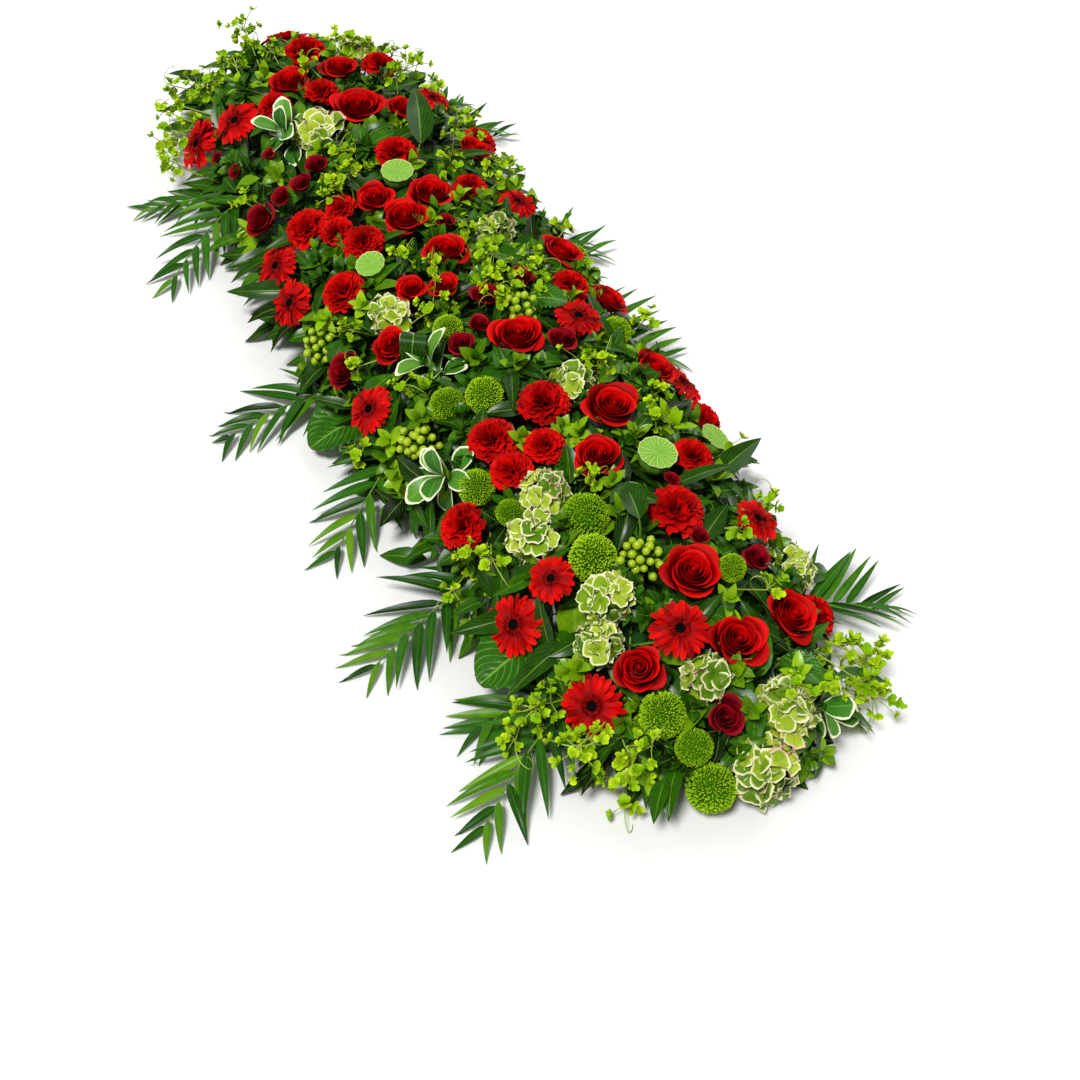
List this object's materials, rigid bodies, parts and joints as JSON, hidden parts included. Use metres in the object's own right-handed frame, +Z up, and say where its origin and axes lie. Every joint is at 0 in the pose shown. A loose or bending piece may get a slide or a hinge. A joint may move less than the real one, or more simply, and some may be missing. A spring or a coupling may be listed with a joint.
{
  "type": "casket spray",
  "caption": "Long low mound of cut roses, carnations, gerberas, green heads, twigs and foliage, on wet foam blocks in a shallow tray that lies flat on a lid.",
  "frame": {"origin": "middle of the tray's flat underside", "axes": "+X along the spray towards the end that is near in the picture, +Z up from the surface it lies on, +Y across the spray"},
  "size_m": [1.8322, 0.7509, 0.2264],
  "materials": {
    "tray_plastic": "moulded, dark green, slightly shiny",
    "wet_foam": "fine-pored, wet, dark green",
    "dark_red_petals": "velvety dark red petals, matt",
    "rose_petals": "soft red petals, satin",
    "carnation_petals": "ruffled red petals, matt",
    "gerbera_petals": "bright red petals round a dark disc, satin",
    "lime_heads": "fuzzy lime green bracts, matt",
    "hydrangea_florets": "green sepals with cream edges, matt",
    "seed_pods": "smooth pale green pods with a pale rim, satin",
    "berries": "smooth small green berries, glossy",
    "palm_leaflets": "dark green leaflets with fine ribs, satin",
    "twig_clusters": "yellow-green lobed clusters on thin stems, matt",
    "edged_leaves": "mid green leaves with cream edges, satin",
    "green_leaves": "dark and mid green leaves, satin to glossy"
  },
  "bodies": {
    "root": {"palm_fronds_left_far": "palm_leaflets", "palm_fronds_left_middle": "palm_leaflets", "palm_frond_left_inner": "palm_leaflets", "palm_fronds_left_near": "palm_leaflets", "palm_fronds_right_far": "palm_leaflets", "palm_fronds_right_middle": "palm_leaflets", "palm_frond_right_near": "palm_leaflets", "spray_roses_far": "dark_red_petals", "spray_roses_middle": "dark_red_petals", "carnations_middle_far": "carnation_petals", "carnations_middle": "carnation_petals", "roses_middle_far": "rose_petals", "roses_middle": "rose_petals", "roses_near": "rose_petals", "spray_roses_near": "dark_red_petals", "gerberas_near": "gerbera_petals", "green_balls_middle": "lime_heads", "green_balls_near_end": "lime_heads", "hydrangeas_near": "hydrangea_florets", "hydrangeas_near_end": "hydrangea_florets", "roses_far_end": "rose_petals", "roses_far": "rose_petals", "roses_right": "rose_petals", "gerberas_middle": "gerbera_petals", "gerberas_right_near": "gerbera_petals", "carnations_far": "carnation_petals", "carnations_near": "carnation_petals", "carnations_right_far": "carnation_petals", "green_balls_near": "lime_heads", "hydrangeas_middle": "hydrangea_florets", "berries_middle": "berries", "roses_middle_near": "rose_petals", "gerberas_far": "gerbera_petals", "gerberas_right_far": "gerbera_petals", "carnations_right_near": "carnation_petals", "green_balls_right": "lime_heads", "hydrangeas_far": "hydrangea_florets", "seed_pods_far": "seed_pods", "seed_pods_near": "seed_pods", "berries_near": "berries", "edged_sprig_far": "edged_leaves", "edged_sprigs_middle": "edged_leaves", "edged_sprig_near_end": "edged_leaves", "twigs_far_left": "twig_clusters", "twigs_far_right": "twig_clusters", "twigs_right": "twig_clusters", "twigs_crest_far": "twig_clusters", "twigs_crest_near": "twig_clusters", "twigs_near_left": "twig_clusters", "twigs_near_right": "twig_clusters", "leafy_branch_left_far": "green_leaves", "leafy_branch_left_middle": "green_leaves", "leafy_branch_left_near": "green_leaves", "leafy_branch_right_far": "green_leaves", "leafy_branch_right_middle": "green_leaves", "leafy_branch_right_near": "green_leaves", "foam_far": "wet_foam", "foam_middle": "wet_foam", "foam_near": "wet_foam", "holder_tray": "tray_plastic"}
  },
  "joints": []
}
